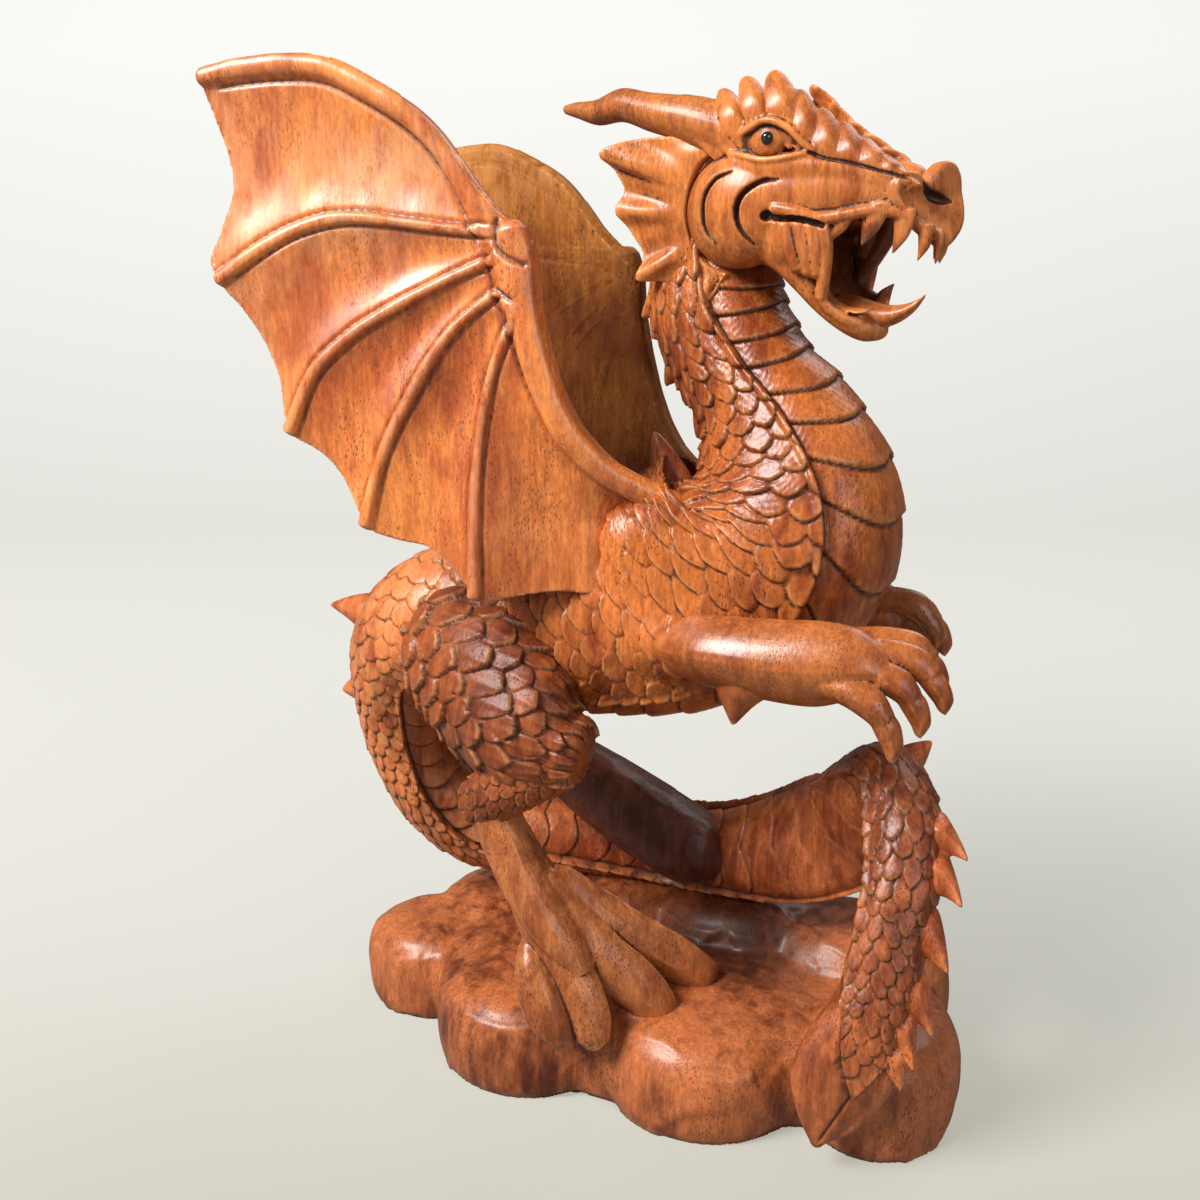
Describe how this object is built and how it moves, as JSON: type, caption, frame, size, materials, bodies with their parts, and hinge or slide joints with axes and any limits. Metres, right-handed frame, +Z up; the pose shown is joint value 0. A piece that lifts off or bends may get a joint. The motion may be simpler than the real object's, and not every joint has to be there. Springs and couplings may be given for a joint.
{
  "type": "dragon statue",
  "caption": "Carved wooden dragon with raised ribbed wings, looped scaly tail and open jaws, standing on a lobed rock base.",
  "frame": {"origin": "middle of the statue's bounding box at the level of the rock's underside", "axes": "+Z up, +X the way the dragon's body faces, +Y towards the dragon's left side"},
  "size_m": [0.299, 0.1748, 0.42],
  "materials": {
    "oiled_wood": "satin oil and wax over hand carved hardwood, stained darker in the grooves",
    "pupil_bead": "polished near-black bead"
  },
  "bodies": {
    "root": {"dragon": "oiled_wood", "left_pupil": "pupil_bead", "right_pupil": "pupil_bead"}
  },
  "joints": []
}
